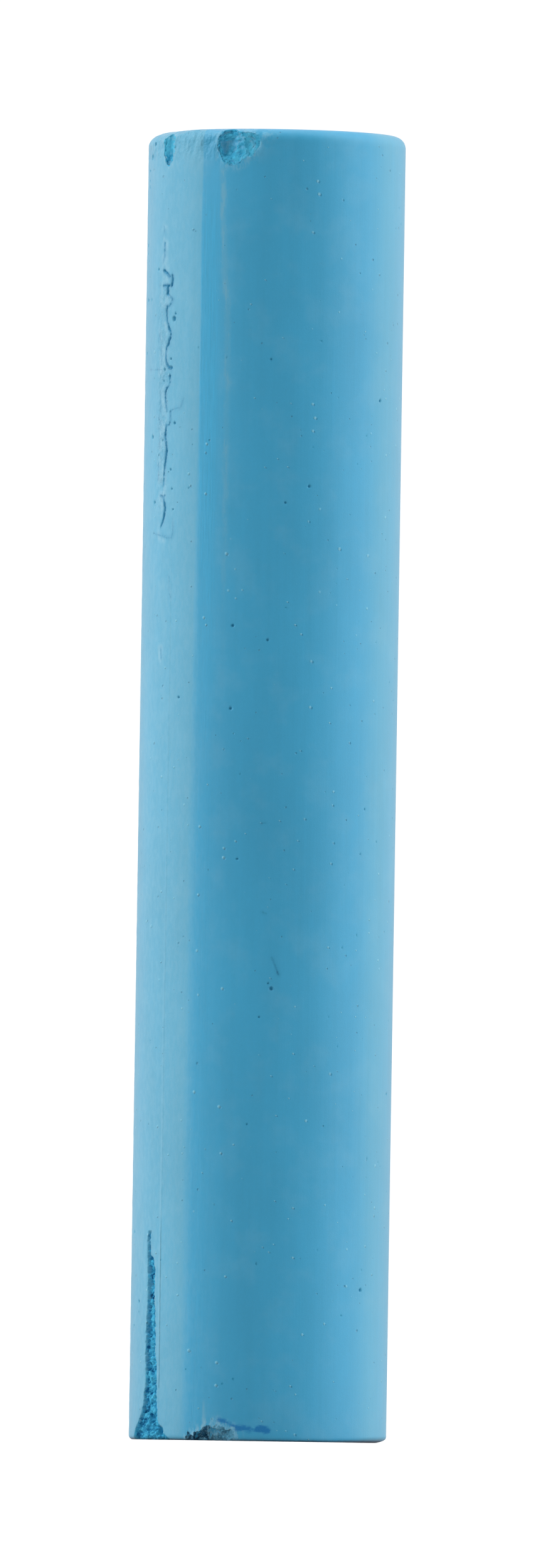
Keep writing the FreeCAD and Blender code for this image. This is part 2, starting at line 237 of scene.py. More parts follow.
class StudioSettings(bpy.types.PropertyGroup):
    """Sizes and brightness of the studio."""

    floor_radius: bpy.props.FloatProperty(
        name="Floor radius", description="Radius of the round floor", default=12.0, unit="LENGTH"
    )
    camera_distance: bpy.props.FloatProperty(
        name="Camera distance", description="Distance from the stick", default=1.74, unit="LENGTH"
    )
    camera_height: length_setting("Camera height", "Height of the camera over the floor", 1.8)
    view_height: length_setting("View height", "Height of the view at the stick", 121.92)
    aim_rise: length_setting("Aim rise", "Height of the aim over the stick's middle", 0.3)
    camera_roll: bpy.props.FloatProperty(
        name="Camera roll", description="Lean of the camera", default=math.radians(0.885),
        subtype="ANGLE",
    )


# ---- Node graphs ------------------------------------------------------------------------


class Signal:
    """A node's output socket. Arithmetic on it adds Math nodes to its tree."""

    def __init__(self, graph, socket):
        self.graph = graph
        self.socket = socket

    def __add__(self, other):
        return self.graph.math("ADD", self, other)

    def __radd__(self, other):
        return self.graph.math("ADD", other, self)

    def __sub__(self, other):
        return self.graph.math("SUBTRACT", self, other)

    def __rsub__(self, other):
        return self.graph.math("SUBTRACT", other, self)

    def __mul__(self, other):
        return self.graph.math("MULTIPLY", self, other)

    def __rmul__(self, other):
        return self.graph.math("MULTIPLY", other, self)

    def __truediv__(self, other):
        return self.graph.math("DIVIDE", self, other)

    def __rtruediv__(self, other):
        return self.graph.math("DIVIDE", other, self)

    def __pow__(self, other):
        return self.graph.math("POWER", self, other)

    def __neg__(self):
        return self.graph.math("MULTIPLY", self, -1.0)

    def __abs__(self):
        return self.graph.math("ABSOLUTE", self)


class Graph:
    """Adds nodes to a shader or geometry tree."""

    def __init__(self, tree):
        self.tree = tree

    def node(self, kind, settings=None, inputs=None, output=0):
        """A node of a type: its settings are set first, then its sockets' values or links."""
        made = self.tree.nodes.new(kind)
        for name, value in (settings or {}).items():
            setattr(made, name, value)
        for key, value in (inputs or {}).items():
            if isinstance(value, Signal):
                self.tree.links.new(value.socket, made.inputs[key])
            else:
                made.inputs[key].default_value = value
        return Signal(self, made.outputs[output])

    def math(self, operation, *values):
        return self.node("ShaderNodeMath", {"operation": operation}, dict(enumerate(values)))

    def vector(self, operation, *values, output=0):
        settings = {"operation": operation}
        return self.node("ShaderNodeVectorMath", settings, dict(enumerate(values)), output)

    def scaled(self, vector, share):
        return self.node("ShaderNodeVectorMath", {"operation": "SCALE"}, {0: vector, 3: share})

    def combine(self, x, y, z):
        return self.node("ShaderNodeCombineXYZ", None, {0: x, 1: y, 2: z})

    def separate(self, vector):
        return [self.node("ShaderNodeSeparateXYZ", None, {0: vector}, axis) for axis in range(3)]

    def smallest(self, a, b):
        return self.math("MINIMUM", a, b)

    def largest(self, first, *others):
        for other in others:
            first = self.math("MAXIMUM", first, other)
        return first

    def ramp(self, value, low, high):
        """0 at low and 1 at high, smooth between; low may be the larger."""
        settings = {"interpolation_type": "SMOOTHSTEP"}
        inputs = {"Value": value, "From Min": low, "From Max": high}
        return self.node("ShaderNodeMapRange", settings, inputs)

    def noise(self, vector, scale, detail=2.0, roughness=0.5):
        inputs = {"Vector": vector, "Scale": scale, "Detail": detail, "Roughness": roughness}
        return self.node("ShaderNodeTexNoise", None, inputs)

    def mix(self, factor, first, second):
        """Mixes two colours."""
        return self.node(
            "ShaderNodeMix", {"data_type": "RGBA"}, {0: factor, 6: first, 7: second}, 2
        )


# ---- Blank: the clean casting, with finer cells where the marks will be --------------------

LEVELS = 4  # how many times a cell may be halved
COLUMNS, ROWS = 64, 124  # coarse cells, about 1 mm
FINE = 2 ** (LEVELS - 1)
WEAR_SPAN = 75  # degrees either side of a worn stretch's middle that get finer cells


def profile_of(settings):
    """Returns a function from the share of the way along the profile to radius and height.

    The profile runs from the foot's centre round both rims to the crown's centre, in mm."""
    radius, length = settings.radius / MM, settings.length / MM
    foot_edge, crown_edge = settings.foot_edge / MM, settings.crown_edge / MM
    foot_radius = radius + settings.foot_swell / MM
    quarter = np.linspace(0, math.pi / 2, 9)
    foot_round = foot_edge * np.array([np.sin(quarter), 1 - np.cos(quarter)])
    crown_round = crown_edge * np.array([np.cos(quarter), np.sin(quarter)])
    foot_round += [[foot_radius - foot_edge], [0]]
    crown_round += [[radius - crown_edge], [length - crown_edge]]
    swell_end = [[radius], [settings.swell_height / MM]]
    ends = [[0], [0]], [[0], [length]]
    line = np.hstack([ends[0], foot_round, swell_end, crown_round, ends[1]])
    reach = np.concatenate([[0], np.cumsum(np.hypot(*np.diff(line)))])

    def at(share):
        along = share * reach[-1]
        return np.interp(along, reach, line[0]), np.interp(along, reach, line[1])

    return at


def chain_distance(chains, angle, height, radius):
    """Distance in mm over the unrolled barrel to the nearest line; negative inside its width."""
    per_degree = radius * math.pi / 180
    nearest = np.full(angle.shape, 99.0)
    for half, chain in chains:
        for (angle_a, height_a), (angle_b, height_b) in zip(chain, chain[1:]):
            run = np.array([(angle_b - angle_a) * per_degree, height_b - height_a])
            side, up = (angle - angle_a) * per_degree, height - height_a
            share = np.clip((side * run[0] + up * run[1]) / (run @ run), 0, 1)
            gap = np.hypot(side - share * run[0], up - share * run[1])
            nearest = np.minimum(nearest, gap - half)
    return nearest


def trench_reach(angle, height, radius):
    """How far in mm a place lies inside the trench's sides, and its share of the way across."""
    heights, lefts, rights = zip(*TRENCH)
    left = np.interp(height, heights, lefts)
    right = np.interp(height, heights, rights)
    per_degree = radius * math.pi / 180
    side = np.minimum(angle - left, right - angle) * per_degree
    return np.minimum(side, heights[-1] - height), np.clip((angle - left) / (right - left), 0, 1)


def scatter_bubbles(count, length):
    """Air bubbles as (angle, height, radius in mm); small ones are the most common."""
    dice = random.Random(BUBBLE_SEED)
    bubbles = list(HOLLOWS)
    for _ in range(count):
        angle = dice.uniform(-180, 180)
        height = dice.uniform(2, length - 2)
        bubbles.append((angle, height, 0.05 + 0.11 * dice.random() ** 4))
    return bubbles


def wanted_levels(profile, settings, bubbles):
    """How often each cell, at the last level but one, asks to be halved."""
    radius, length = settings.radius / MM, settings.length / MM
    columns, rows = COLUMNS * FINE, ROWS * FINE
    angle = (np.arange(columns) + 0.5) / columns * 360 - 180
    reach, height = profile((np.arange(rows) + 0.5) / rows)
    angle, height = np.meshgrid(angle, height)
    reach = np.repeat(reach[:, None], columns, axis=1)
    wanted = np.where(reach < 0.8 * radius, 0, 1)
    on_rim = reach > radius - 1.3 * settings.crown_edge / MM
    wanted[on_rim & (height > length - 1.2 * settings.crown_edge / MM)] = 2
    wanted[(reach > radius - 0.6) & (height < settings.foot_edge / MM)] = 3
    near_foot_wear = np.abs(angle - FOOT_WEAR[0]) < WEAR_SPAN
    wanted[near_foot_wear & (height < 0.8) & (reach > radius - 1.6)] = 3
    for line in (PARTING_ANGLE, DRAG_ANGLE - DRAG_HALF):
        beside_line = np.abs(angle - line) * radius * math.pi / 180 < 0.2
        wanted[beside_line & (height < 70)] = 3
    near_crown_wear = np.abs(angle - CROWN_WEAR[0]) < WEAR_SPAN
    wanted[near_crown_wear & (height > length - 2) & (reach > radius - 3.2)] = 3
    near_seam = np.abs(angle - SEAM_ANGLE) < 70
    side = (reach > 0.85 * radius) & near_seam
    gap = chain_distance(SPLIT_LINES, angle[side], height[side], radius)
    inside, _ = trench_reach(angle[side], height[side], radius)
    wanted[side] = np.maximum(wanted[side], np.select([gap < 0.15, gap < 0.5], [4, 3], 0))
    wanted[side] = np.maximum(wanted[side], np.select([inside > -0.2, inside > -0.5], [4, 3], 0))
    for bites, level_of_end in ((CROWN_BITES, length), (FOOT_BITES, 0)):
        for bite_angle, bite_rise, across, inward, upright, _ in bites:
            turn = (angle - bite_angle) * radius * math.pi / 180 / (across + 0.15)
            rise = (height - level_of_end - bite_rise) / (upright + 0.15)
            sink = (radius - reach) / (inward + 0.2)
            wanted[turn**2 + rise**2 + sink**2 < 1] = 4
    for bubble_angle, bubble_height, size in bubbles:
        half_angle = np.degrees(1.3 * size / radius)
        near = (np.abs(angle[0] - bubble_angle) < half_angle).nonzero()[0]
        tall = (np.abs(height[:, 0] - bubble_height) < 1.3 * size).nonzero()[0]
        wanted[np.ix_(tall, near)] = 4
    return wanted


def any_of_four(cells):
    """Halves the resolution: a cell is set if any of its four parts is."""
    rows, columns = cells.shape
    return cells.reshape(rows // 2, 2, columns // 2, 2).max(axis=(1, 3))


def double(cells):
    """Doubles the resolution."""
    return cells.repeat(2, axis=0).repeat(2, axis=1)


def halve_cells(wanted):
    """Which cells are halved at each level, so that neighbours differ by one level at most."""
    halved = {LEVELS - 1: wanted >= LEVELS}
    for level in range(LEVELS - 2, -1, -1):
        wanted = any_of_four(wanted)
        parts = any_of_four(halved[level + 1])
        beside = parts | np.roll(parts, 1, axis=1) | np.roll(parts, -1, axis=1)
        beside[1:] |= parts[:-1]
        beside[:-1] |= parts[1:]
        halved[level] = beside | (wanted > level)
    return halved


def blank_faces(halved):
    """Lattice points in use, and each face as a loop of them, foot to crown and round."""
    across, upright = COLUMNS * 2**LEVELS, ROWS * 2**LEVELS
    used = np.zeros((upright + 1, across), bool)
    cells = []
    standing = np.ones((ROWS, COLUMNS), bool)
    for level in range(LEVELS + 1):
        here = halved.get(level, np.zeros_like(standing))
        row, column = (standing & ~here).nonzero()
        side = 2 ** (LEVELS - level)
        low, left = row * side, column * side
        cells.append((low, left, side))
        for up in (0, side):
            for right in (0, side):
                used[low + up, (left + right) % across] = True
        standing = double(standing & here)
    used[0], used[-1] = False, False
    used[0, 0] = used[-1, 0] = True
    number = np.cumsum(used.ravel()).reshape(used.shape) - 1
    number[0], number[-1] = number[0, 0], number[-1, 0]
    drawn = used.copy()
    drawn[0], drawn[-1] = True, True
    faces = []
    for low, left, side in cells:
        half = side // 2
        places = [(0, 0), (0, half), (0, side), (half, side), (side, side), (side, half)]
        places += [(side, 0), (half, 0)]
        loops = []
        for index, (up, right) in enumerate(places):
            row, column = low + up, (left + right) % across
            corner = index % 2 == 0
            keep = corner or (drawn[row, column] if half else np.zeros(len(low), bool))
            loops.append(np.where(keep, number[row, column], -1))
        for loop in np.array(loops).T.tolist():
            face = list(dict.fromkeys(point for point in loop if point >= 0))
            faces.append(face)
    rows, columns = used.nonzero()
    return rows / upright, columns / across, faces


def make_blank(settings):
    """The clean casting, whose points carry how near the seam's marks and bubbles are."""
    radius, length = settings.radius / MM, settings.length / MM
    profile = profile_of(settings)
    bubbles = scatter_bubbles(settings.bubbles, length)
    halved = halve_cells(wanted_levels(profile, settings, bubbles))
    along, around, faces = blank_faces(halved)
    reach, height = profile(along)
    angle = around * 360 - 180
    turn = np.radians(angle)
    points = np.column_stack([reach * np.sin(turn), -reach * np.cos(turn), height]) * MM
    mesh = bpy.data.meshes.new(NODE + "_blank")
    mesh.from_pydata(points.tolist(), [], faces)
    hollow = np.full(len(points), 9.0)
    hollow_size = np.zeros(len(points))
    for bubble_angle, bubble_height, size in bubbles:
        near = (np.abs(height - bubble_height) < 2 * size) & (reach > radius - 0.5)
        side = (angle[near] - bubble_angle) * radius * math.pi / 180
        share = np.hypot(side, height[near] - bubble_height) / size
        closer = share < hollow[near]
        hollow[near] = np.where(closer, share, hollow[near])
        hollow_size[near] = np.where(closer, size, hollow_size[near])
    near_seam = np.abs(angle - SEAM_ANGLE) < 75
    split_gap = np.full(len(points), 99.0)
    split_gap[near_seam] = chain_distance(
        SPLIT_LINES, angle[near_seam], height[near_seam], radius
    )
    inside, across = trench_reach(angle, height, radius)
    marks = {
        "angle": angle,
        "split_gap": split_gap,
        "trench_reach": inside,
        "trench_across": across,
        "bubble_share": hollow,
        "bubble_size": hollow_size,
    }
    for name, values in marks.items():
        mesh.attributes.new(name, "FLOAT", "POINT").data.foreach_set("value", values)
    unwrap = mesh.uv_layers.new(name="barrel")
    corner_points = np.zeros(len(mesh.loops), int)
    mesh.loops.foreach_get("vertex_index", corner_points)
    turned = around[corner_points]
    starts = np.zeros(len(mesh.polygons), int)
    mesh.polygons.foreach_get("loop_start", starts)
    first = np.repeat(turned[starts], np.diff(np.append(starts, len(turned))))
    turned = turned + np.where(first - turned > 0.5, 1, 0) - np.where(turned - first > 0.5, 1, 0)
    spread = np.column_stack([turned, along[corner_points]])
    unwrap.data.foreach_set("uv", spread.ravel())
    return mesh


# ---- Weathering: a geometry tree that turns the blank into the worn stick ------------------


def add_bites(graph, place, bites, end, jagged):
    """Scoops bites out of a rim, each a bowl that stays open towards the end of the stick.

    Returns the new place, and how far it lies in or near a bite."""
    broken, near = 0.0, 0.0
    for angle, rise, across, inward, upright, raggedness in bites:
        turn = math.radians(angle)
        outside = RADIUS_MM + 0.35 * inward
        centre = (outside * math.sin(turn), -outside * math.cos(turn), end + rise)
        x, y, z = graph.separate(graph.vector("SUBTRACT", place, centre))
        beyond = graph.smallest(z, 0.0) if end > 0 else graph.largest(z, 0.0)
        arm = graph.combine(x, y, beyond)
        settings = {"rotation_type": "Z_AXIS"}
        local = graph.node("ShaderNodeVectorRotate", settings, {"Vector": arm, "Angle": -turn})
        local = graph.vector("DIVIDE", local, (across, inward, upright))
        share = graph.vector("LENGTH", local, output=1)
        edge = 1 + (jagged - 0.5) * (4 * raggedness)
        push = graph.largest(edge / graph.largest(share, 0.05), 1.0) - 1
        place = graph.vector("ADD", place, graph.scaled(arm, push))
        broken = graph.largest(graph.ramp(share - edge, 0.10, -0.02), broken)
        near = graph.largest(graph.ramp(share - edge, 0.45, 0.05), near)
    return place, broken, near


def wear_rim(graph, place, radius, angle, wear, end, slump):
    """Rounds off the worn stretch of a rim. Returns the new place, and how worn it is there."""
    wear_angle, over, along = wear
    amount = graph.ramp(abs(angle - wear_angle), 78.0, 22.0)
    over, along = [graph.largest(amount * slump * size, 0.3) for size in (over, along)]
    x, y, z = graph.separate(place)
    reach = graph.math("SQRT", x * x + y * y)
    outward = graph.vector("NORMALIZE", graph.combine(x, y, 0.0))
    towards = 1 if end else -1
    out_share = graph.largest((reach - radius) / over + 1, 0.0)
    end_share = graph.largest((z - end) * towards / along + 1, 0.0)
    corner = graph.math("SQRT", out_share * out_share + end_share * end_share)
    shrink = 1 - 1 / graph.largest(corner, 1.0)
    place = graph.vector("SUBTRACT", place, graph.scaled(outward, out_share * over * shrink))
    drop = end_share * along * shrink * towards
    place = graph.vector("SUBTRACT", place, graph.combine(0.0, 0.0, drop))
    return place, graph.ramp(corner, 0.9, 1.1) * amount


def weathering_tree(material):
    """The geometry tree: drag flat, parting line, bubbles, split, trench and bites."""
    tree = bpy.data.node_groups.new("chalk_weathering", "GeometryNodeTree")
    tree.interface.new_socket("Geometry", in_out="INPUT", socket_type="NodeSocketGeometry")
    for name in ("Radius", "Length", "Trench depth", "Split depth", "Grain"):
        tree.interface.new_socket(name, in_out="INPUT", socket_type="NodeSocketFloat")
    tree.interface.new_socket("Geometry", in_out="OUTPUT", socket_type="NodeSocketGeometry")
    graph = Graph(tree)
    given = tree.nodes.new("NodeGroupInput")
    geometry, radius, length, trench_depth, split_depth, grain = [
        Signal(graph, socket) for socket in given.outputs[:6]
    ]

    def mark(name):
        settings = {"data_type": "FLOAT"}
        return graph.node("GeometryNodeInputNamedAttribute", settings, {"Name": name})

    place = graph.scaled(graph.node("GeometryNodeInputPosition"), 1 / MM)
    x, y, z = graph.separate(place)
    reach = graph.math("SQRT", x * x + y * y)
    outward = graph.vector("NORMALIZE", graph.combine(x, y, 0.0))
    on_rim = graph.ramp(reach, radius - 3.0, radius)
    per_degree = math.pi / 180

    # The drag flat: a plane that shaves the barrel, with faint score lines down it.
    from_drag = (mark("angle") - DRAG_ANGLE) * per_degree
    plane = radius * math.cos(DRAG_HALF * per_degree) / graph.math("COSINE", from_drag)
    in_drag = graph.ramp(abs(from_drag), 0.35, 0.3) * (0.1 + 0.9 * graph.ramp(z, 45.0, 85.0))
    shaved = graph.largest(radius - plane, 0.0) * in_drag
    score = graph.noise(graph.combine(from_drag * 90.0, 0.0, z * 0.02), 1.0, 3.0, 0.7)
    shaved = shaved + graph.ramp(shaved, 0.0, 0.02) * (score - 0.5) * 0.03

    # The parting line: a thin rib.
    from_parting = abs(mark("angle") - PARTING_ANGLE) * per_degree * radius
    rib_height = graph.noise(place, 0.35) * 0.05
    rib = graph.ramp(from_parting, 0.17, 0.0) * rib_height

    # Air bubbles: open hollows with ragged rims.
    ragged = graph.noise(place, 2.4, 4.0, 0.65)
    hollow_share = mark("bubble_share") + (ragged - 0.5) * 0.9
    hollow = graph.math("SQRT", graph.largest(1 - hollow_share * hollow_share, 0.0))
    hollow = hollow * mark("bubble_size") * 0.8

    # The split: a narrow cut that wanders and pinches, with its left lip flaked up.
    pinch = graph.noise(place, 1.0)
    fray = graph.noise(place, 4.6, 3.0, 0.75)
    split_gap = mark("split_gap") + 0.03 + (fray - 0.5) * 0.36 + (pinch - 0.5) * 0.24
    split = graph.ramp(split_gap, 0.07, -0.08)
    lip = graph.ramp(split_gap, 0.08, 0.2) * graph.ramp(split_gap, 0.75, 0.3)
    lip = lip * graph.ramp(mark("angle"), -54.0, -57.0) * graph.ramp(mark("angle"), -63.0, -61.0)
    lip = lip * graph.ramp(pinch, 0.35, 0.6)

    # The trench: crumbled out, deepest on its left, with lumps left standing in it.
    lumps = graph.noise(place, 1.9, 4.0, 0.7)
    trench_gap = mark("trench_reach") + (ragged - 0.5) * 0.4 + (fray - 0.5) * 0.4
    trench = graph.ramp(trench_gap, -0.08, 0.16)
    share = 0.25 + 0.35 * graph.ramp(mark("trench_across"), 0.8, 0.2)
    share = share + 0.65 * graph.ramp(lumps, 0.6, 0.4)
    cut = graph.largest(trench * trench_depth * share, split * split_depth)

    sway = (graph.noise(graph.vector("MULTIPLY", place, (1.0, 1.0, 0.2)), 0.16) - 0.5) * 0.025
    inward = (cut + hollow + shaved - rib - lip * 0.05 + sway) * on_rim
    place = graph.vector("SUBTRACT", place, graph.scaled(outward, inward))

    # The rims: a worn, rounded stretch of each, and bites out of both.
    slump = 0.85 + 0.3 * graph.noise(place, 0.7, 3.0, 0.6)
    around = mark("angle")
    place, worn = wear_rim(graph, place, radius, around, CROWN_WEAR, length, slump)
    place, _ = wear_rim(graph, place, radius, around, FOOT_WEAR, 0.0, slump)
    jagged = graph.noise(place, 1.6, 4.0, 0.62)
    place, crown_broken, near_crown = add_bites(graph, place, CROWN_BITES, LENGTH_MM, jagged)
    place, foot_broken, near_foot = add_bites(graph, place, FOOT_BITES, 0.0, jagged)

    # Grain: the broken chalk is rough all over, and the worn rim is lumpy.
    broken = graph.largest(trench, crown_broken, foot_broken)
    rough = graph.noise(place, 3.6, 4.0, 0.8) + graph.noise(place, 1.7, 2.0) * 0.8 - 0.9
    lumpy = graph.noise(place, 1.1, 4.0, 0.65) - 0.5
    marks = {
        "broken": broken,
        "worn": worn,
        "split": split,
        "lip": lip,
        "hollow": graph.ramp(hollow_share, 1.0, 0.6),
        "scuff": graph.largest(near_crown, near_foot),
        "crag": rough,
        "lump": lumpy,
        "sunk": trench * share,
    }
    shaped = graph.node(
        "GeometryNodeSetPosition", None, {"Geometry": geometry, "Position": graph.scaled(place, MM)}
    )
    for name, value in marks.items():
        shaped = graph.node(
            "GeometryNodeStoreNamedAttribute",
            {"data_type": "FLOAT", "domain": "POINT"},
            {"Geometry": shaped, "Name": name, "Value": value},
        )

    push = (mark("crag") * mark("broken") * 1.3 + mark("lump") * mark("worn") * 0.9) * grain * MM
    push = graph.scaled(graph.node("GeometryNodeInputNormal"), push)
    shaped = graph.node("GeometryNodeSetPosition", None, {"Geometry": shaped, "Offset": push})
    x, y, z = graph.separate(graph.node("GeometryNodeInputPosition"))
    standing = graph.combine(x, y, graph.largest(z, 0.0))
    shaped = graph.node(
        "GeometryNodeSetPosition", None, {"Geometry": shaped, "Position": standing}
    )
    shaped = graph.node("GeometryNodeRealizeInstances", None, {"Geometry": shaped})
    shaped = graph.node("GeometryNodeSetMaterial", None, {"Geometry": shaped, "Material": material})
    result = tree.nodes.new("NodeGroupOutput")
    tree.links.new(shaped.socket, result.inputs[0])
    return tree


def apply_tree(blank, tree, values):
    """Runs a geometry tree on an object once and keeps the plain mesh it gives."""
    modifier = blank.modifiers.new("weathering", "NODES")
    modifier.node_group = tree
    for item in tree.interface.items_tree:
        if item.item_type == "SOCKET" and item.in_out == "INPUT" and item.name in values:
            modifier[item.identifier] = values[item.name]
    depsgraph = bpy.context.evaluated_depsgraph_get()
    mesh = bpy.data.meshes.new_from_object(
        blank.evaluated_get(depsgraph), preserve_all_data_layers=True, depsgraph=depsgraph
    )
    blank.modifiers.clear()
    blank.data = mesh


# ---- Chalk material ---------------------------------------------------------------------


def chalk_material(settings):
    """Cast blue chalk: a smooth, faintly streaked skin over a darker, rough inside."""
    material = bpy.data.materials.new("cast_blue_chalk")
    material.use_nodes = True
    tree = material.node_tree
    tree.nodes.clear()
    graph = Graph(tree)
    place = graph.node("ShaderNodeTexCoord", None, None, "Object")
    place = graph.scaled(place, 1 / MM)
    x, y, height = graph.separate(place)
    angle = graph.math("ARCTAN2", x, -y) * (180 / math.pi)

    def mark(name):
        return graph.node("ShaderNodeAttribute", {"attribute_name": name}, None, "Fac")

    def band(value, low, low_full, high_full, high):
        """1 between two limits, with a smooth ramp at each."""
        return graph.ramp(value, low, low_full) * graph.ramp(value, high, high_full)

    def shade(share):
        """A grey factor as a colour, to multiply another colour by."""
        return graph.combine(share, share, share)

    dark = (*settings.broken, 1)
    powder = (*settings.powder, 1)
    broken = mark("broken")

    # Mottling and the faint streaks that the mould drew down the skin.
    cloud = graph.noise(graph.vector("MULTIPLY", place, (1, 1, 0.4)), 0.14, 4.0, 0.6)
    streak = graph.noise(graph.vector("MULTIPLY", place, (1, 1, 0.03)), 1.6, 4.0, 0.6)
    fine = graph.noise(place, 5.0, 3.0, 0.6)
    blush = graph.noise(place, 0.3, 3.0, 0.6)
    tone = 1 + (cloud - 0.5) * 0.28 + (streak - 0.5) * 0.09 + (fine - 0.5) * 0.08
    colour = graph.vector("MULTIPLY", tuple(settings.skin), shade(tone))
    colour = graph.mix(graph.ramp(blush, 0.45, 0.75) * 0.1, colour, powder)
    soft = graph.ramp(height, 85.0, 50.0) * 3.0
    swayed = angle + (streak - 0.5) * 2.5
    # A pale film over the left side, over the right side from 40 to 62 degrees on, and over the ends.
    # It is partly dust and partly painted sheen that pales the barrel towards both edges.
    dust_and_sheen = graph.ramp(swayed, soft - 34.4, -35.6 - soft)
    from_axis = graph.math("SQRT", x * x + y * y)
    on_end = graph.ramp(from_axis, RADIUS_MM - 0.5, RADIUS_MM - 1.2)
    dust_and_sheen = graph.largest(dust_and_sheen, graph.ramp(swayed, 40.0, 62.0), on_end)
    colour = graph.mix(dust_and_sheen * 0.15, colour, (0.42, 0.66, 0.52, 1))

    # The drag flat is cleaner and more saturated, with fine score lines and a pale, broken
    # streak of powder along its right edge.
    lines = graph.noise(graph.combine(angle * 1.3, 0.0, height * 0.25), 1.0, 4.0, 0.8)
    drift = graph.ramp(height, 84.0, 98.0) * 2.0
    drag_angle = swayed + drift * 0.3
    drag = band(drag_angle, -35.4 - soft, soft - 34.4, -28.5, -23.5) * graph.ramp(height, 99.5, 93.0)
    fresh = graph.vector("MULTIPLY", (0.034, 0.435, 0.73), shade(1 + (lines - 0.5) * 0.55))
    colour = graph.mix(drag * (0.4 + 0.5 * graph.ramp(height, 50.0, 80.0)), colour, fresh)
    crumbs = graph.noise(graph.vector("MULTIPLY", place, (1, 1, 0.25)), 1.5, 4.0, 0.7)
    waver = graph.noise(graph.vector("MULTIPLY", place, (0, 0, 1)), 0.35, 4.0, 0.7) - 0.5
    pale_run = band(angle + drift * 1.75 + waver * 4.0, -23.4, -21.6, -21.0, -18.8)
    pale_run = pale_run * graph.ramp(height, 55.0, 90.0) * graph.ramp(height, 99.2, 98.2)
    colour = graph.mix(pale_run * 0.22, colour, (0.17, 0.46, 0.6, 1))
    colour = graph.mix(pale_run * graph.ramp(crumbs, 0.5, 0.6) * 0.4, colour, (0.2, 0.5, 0.64, 1))

    # The parting line.
    from_hair = angle - PARTING_ANGLE + (cloud - 0.5) * 1.5
    hair = graph.ramp(abs(from_hair), 0.55, 0.15)
    hair = hair * (0.14 + 0.6 * band(height, 3.8, 4.2, 15.0, 18.0)) * graph.ramp(height, 71.0, 64.0)
    colour = graph.mix(hair, colour, (0.03, 0.24, 0.38, 1))
    pale_side = band(from_hair, -1.6, -1.1, -0.7, -0.4) * band(height, 4.0, 5.0, 20.0, 60.0)
    colour = graph.mix(pale_side * 0.25, colour, powder)

    # Fine pits darkened with painted shade, pale flecks lit with painted glints, and a few brown
    # specks.
    def specks(scale, share, size, shift=(0, 0, 0)):
        """Scattered dots: one in some of the cells of a pattern."""
        where = graph.vector("ADD", place, shift)
        distance = graph.node("ShaderNodeTexVoronoi", None, {"Vector": where, "Scale": scale})
        chance = graph.separate(Signal(graph, distance.socket.node.outputs["Color"]))
        chosen = graph.ramp(chance[0], share, share - 0.01)
        spread = size * (0.4 + 0.9 * chance[1] * chance[1])
        return graph.ramp(distance / scale + (fine - 0.5) * 0.05, spread, spread * 0.35) * chosen

    shaded_pits = specks(0.93, 0.5, 0.1)
    flecks_and_glints = specks(1.07, 0.7, 0.14)
    # behind: a dark dot just off each pale fleck, a painted shadow.
    behind = specks(1.07, 0.7, 0.13, (-0.1, 0, 0.07))
    brown = specks(0.33, 0.1, 0.12)
    colour = graph.mix(graph.largest(shaded_pits, behind) * 0.5, colour, (0.015, 0.2, 0.38, 1))
    colour = graph.mix(flecks_and_glints * 0.75, colour, (0.25, 0.66, 0.84, 1))
    colour = graph.mix(brown * 0.45, colour, (0.16, 0.17, 0.15, 1))
    colour = graph.mix(mark("hollow") * 0.55, colour, (0.012, 0.16, 0.32, 1))
    colour = graph.mix(mark("lip") * 0.5, colour, powder)
    seam = band(height, 70.0, 74.0, 88.0, 92.0) * band(angle, -66.0, -62.0, -57.0, -53.0)
    crackle = graph.noise(graph.vector("MULTIPLY", place, (1, 1, 0.6)), 1.5, 5.0, 0.75)
    crackle = graph.ramp(abs(crackle - 0.5), 0.04, 0.0) * graph.ramp(blush, 0.4, 0.55)
    colour = graph.mix(crackle * seam * 0.4, colour, (0.02, 0.25, 0.45, 1))
    flakes = graph.noise(graph.vector("MULTIPLY", place, (1, 1, 0.7)), 1.1, 4.0, 0.7)
    colour = graph.mix(graph.ramp(flakes, 0.52, 0.66) * seam * 0.3, colour, powder)
    colour = graph.mix(graph.ramp(flakes, 0.44, 0.34) * seam * 0.25, colour, (0.03, 0.3, 0.5, 1))
    # Painted shade round the split: a soft, patchy dark halo beside it, and a darker narrow band
    # along it that also draws the faint hairlines.
    crack_shade = graph.ramp(mark("split_gap"), 0.4, 0.0) * graph.ramp(crumbs, 0.35, 0.6)
    crack_shade = crack_shade * 0.3 + graph.ramp(mark("split_gap") + (fine - 0.5) * 0.16, 0.15, 0.05) * 0.35
    colour = graph.mix(crack_shade, colour, (0.02, 0.27, 0.5, 1))

    # A pale smudge above the foot chip.
    smudge = band(angle, -26.0, -24.6, -23.8, -22.8) * band(height, 0.9, 1.5, 2.4, 3.4)
    colour = graph.mix(smudge * 0.6 * graph.ramp(streak, 0.3, 0.6), colour, (0.2, 0.52, 0.68, 1))
